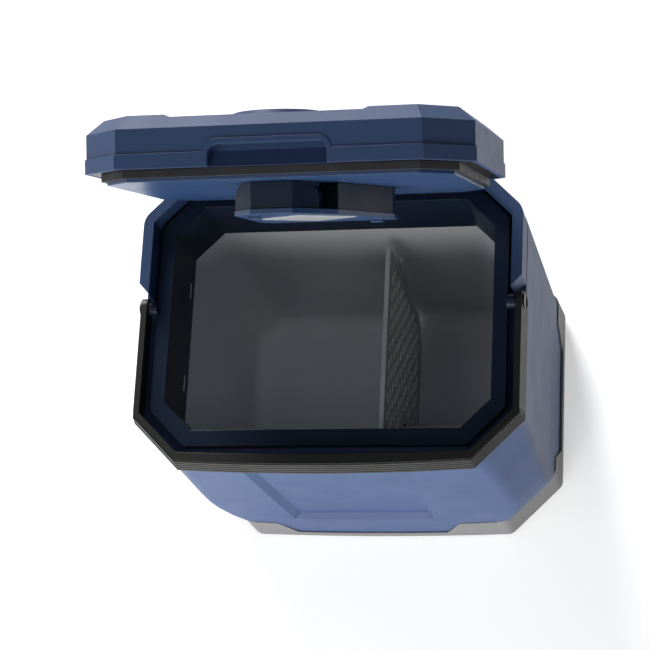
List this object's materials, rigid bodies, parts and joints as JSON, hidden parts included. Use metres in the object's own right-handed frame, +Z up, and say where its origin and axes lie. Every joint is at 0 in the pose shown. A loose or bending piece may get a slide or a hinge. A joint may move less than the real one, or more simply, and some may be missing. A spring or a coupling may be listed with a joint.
{
  "type": "compressor cooler fridge",
  "caption": "Portable compressor cooler with an octagonal insulated tub, hinged lid with cup well, swinging carry handle, lift-out divider and a cooling pack.",
  "frame": {"origin": "on the floor under the plan centre of the cooler as it rests with its lid open", "axes": "+Z up, +X to the right of a user at the front, +Y from the front to the lid's hinges"},
  "size_m": [0.409, 0.342, 0.6454],
  "materials": {
    "body_blue": "satin moulded, fine grain",
    "navy_trim": "satin moulded",
    "lid_inner_blue": "satin moulded",
    "skirt_grey": "fine grain",
    "handle_black": "satin, ribbed",
    "liner_grey": "smooth satin",
    "divider_grey": "smooth satin",
    "black_panel": "satin",
    "button_grey": "satin",
    "display_glass": "clear",
    "light_lens": "frosted",
    "smoked_lens": "frosted, lightly smoked",
    "black_rubber": "matte",
    "gasket_rubber": "satin",
    "foam": "rigid closed-cell foam",
    "steel": "brushed",
    "black_steel": "gloss enamel",
    "aluminium": "mill",
    "copper": "bright drawn",
    "brass_pins": "bright",
    "circuit_board": "solder mask"
  },
  "bodies": {
    "cabinet": {"outer_shell": "body_blue", "rim_frame": "body_blue", "base_tray": "skirt_grey", "foot_pads": "black_rubber", "throat_collar": "navy_trim", "light_windows": "light_lens", "inner_liner": "liner_grey", "foam_insulation": "foam", "evaporator_plate": "aluminium", "panel_bezel": "black_panel", "display_lens": "display_glass", "display_board": "circuit_board", "outlet_grille": "skirt_grey", "power_inlet": "black_panel", "inlet_pins": "brass_pins", "compressor": "black_steel", "compressor_mounts": "black_rubber", "condenser_tube": "copper", "condenser_fins": "aluminium", "fan_frame": "black_panel", "control_board": "circuit_board", "power_parts": "black_panel", "filter_drier": "copper", "discharge_pipe": "copper", "suction_pipe": "copper", "temperature_sensor": "liner_grey", "hinge_brackets": "steel", "hinge_pins": "steel", "bracket_screws": "steel", "handle_pivots": "black_panel", "base_screws": "steel"},
    "lid": {"lid_shell": "body_blue", "lid_seal_frame": "black_panel", "lid_gasket": "gasket_rubber", "lid_inner_panel": "lid_inner_blue", "lid_insulation": "foam", "cup_well": "body_blue", "cup_mat": "black_rubber", "pod_housing": "navy_trim", "pod_cap": "lid_inner_blue", "pod_lens": "smoked_lens", "hinge_leaves": "steel", "leaf_screws": "steel"},
    "handle": {"handle_bail": "handle_black"},
    "divider": {"divider": "divider_grey"},
    "power_button": {"power_button": "button_grey"},
    "set_button": {"set_button": "button_grey"},
    "minus_button": {"minus_button": "button_grey"},
    "plus_button": {"plus_button": "button_grey"},
    "fan_rotor": {"fan_rotor": "black_panel"}
  },
  "joints": [
    {"name": "lid_hinge", "type": "hinge", "parent": "cabinet", "child": "lid", "pos_m": [0, 0.1399, 0.368], "axis": [-1, 0, 0], "range_deg": [-72.9, 0]},
    {"name": "handle_pivot", "type": "hinge", "parent": "cabinet", "child": "handle", "pos_m": [0, 0.0054, 0.3465], "axis": [-1, 0, 0], "range_deg": [0, 90]},
    {"name": "divider_slide", "type": "slide", "parent": "cabinet", "child": "divider", "axis": [0, 0, 1], "range_m": [0, 0.15]},
    {"name": "power_press", "type": "slide", "parent": "cabinet", "child": "power_button", "axis": [0, 1, 0], "range_m": [0, 0.001], "stiffness_N_per_m": 300},
    {"name": "set_press", "type": "slide", "parent": "cabinet", "child": "set_button", "axis": [0, 1, 0], "range_m": [0, 0.001], "stiffness_N_per_m": 300},
    {"name": "minus_press", "type": "slide", "parent": "cabinet", "child": "minus_button", "axis": [0, 1, 0], "range_m": [0, 0.001], "stiffness_N_per_m": 300},
    {"name": "plus_press", "type": "slide", "parent": "cabinet", "child": "plus_button", "axis": [0, 1, 0], "range_m": [0, 0.001], "stiffness_N_per_m": 300},
    {"name": "fan_spin", "type": "hinge", "parent": "cabinet", "child": "fan_rotor", "pos_m": [-0.1385, -0.1021, 0.098], "axis": [1, 0, 0], "continuous": true}
  ]
}
